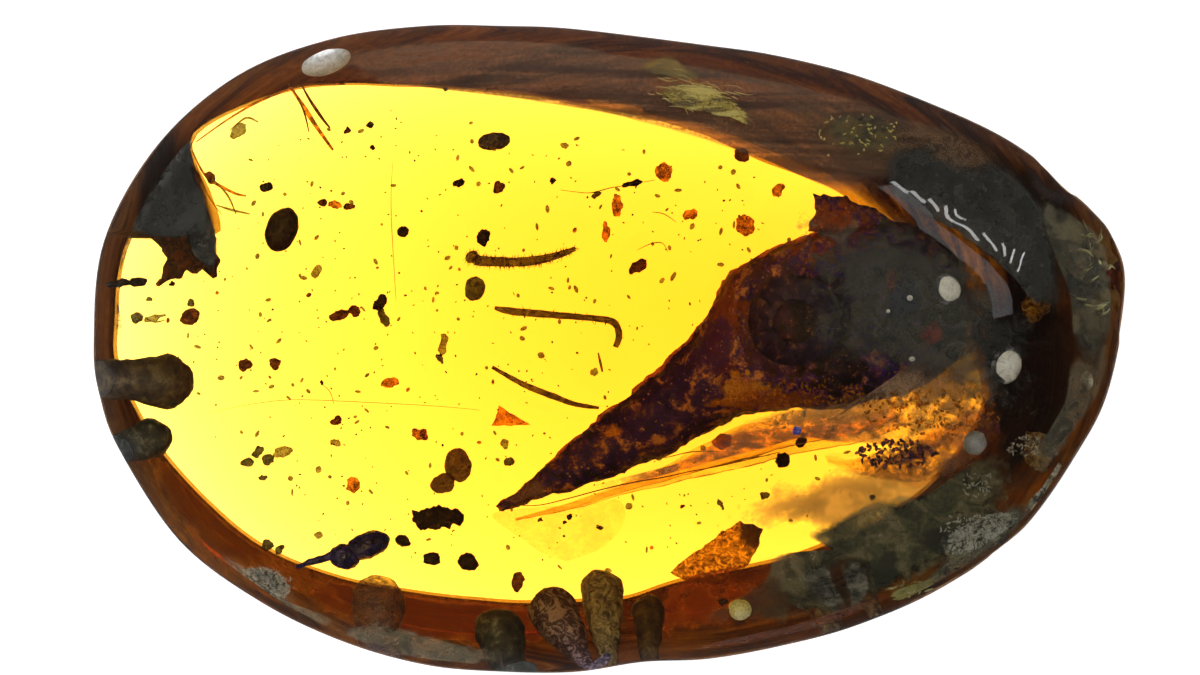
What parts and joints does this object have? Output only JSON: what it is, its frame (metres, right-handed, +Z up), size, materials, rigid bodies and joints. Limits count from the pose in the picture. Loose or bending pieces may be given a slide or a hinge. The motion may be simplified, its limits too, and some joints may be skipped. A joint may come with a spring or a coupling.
{
  "type": "dinosaur skull in amber",
  "caption": "Polished oval amber pebble, flat underneath, with a tiny long-snouted skull, insect bits, plant scraps and mud-filled borings sealed inside.",
  "frame": {"origin": "middle of the stone's outline, on the plane it rests on", "axes": "+X towards the blunt end with the back of the skull, +Y towards the edge above the skull's crown, +Z up out of the domed side"},
  "size_m": [0.031, 0.0194, 0.0085],
  "materials": {
    "amber": "polished clear yellow amber",
    "bone": "fossil bone, dark red-brown to blue-black, grainy",
    "tissue": "translucent mummified skin, orange-brown",
    "mud": "dull dark sediment",
    "mineral": "crumbly pale grey crystals",
    "plant": "thin translucent plant scrap",
    "chitin": "glossy blue-black insect shell",
    "leg": "thin brown insect cuticle"
  },
  "bodies": {
    "root": {"amber_lower": "amber", "amber_upper": "amber", "skull": "bone", "lower_jaw": "bone", "scleral_ring_right": "bone", "scleral_ring_left": "bone", "neck_tissue": "tissue", "boring_cast_1": "mud", "boring_cast_2": "mud", "boring_cast_3": "mud", "boring_cast_4": "mud", "boring_cast_5": "mud", "boring_cast_6": "mud", "boring_cast_7": "mud", "boring_cast_8": "mud", "boring_cast_9": "mud", "mineral_lump_1": "mineral", "mineral_lump_2": "mineral", "mineral_lump_3": "mineral", "mineral_lump_4": "mineral", "insect_leg_1": "leg", "insect_leg_2": "leg", "insect_leg_3": "leg", "bark_scrap": "plant", "leaf_scrap": "plant", "seed_husk": "plant", "beetle": "chitin", "dirt_ball": "mud", "dark_chunk": "mud", "double_pellet": "mud", "pellet_1": "mud", "pellet_2": "mud"}
  },
  "joints": []
}
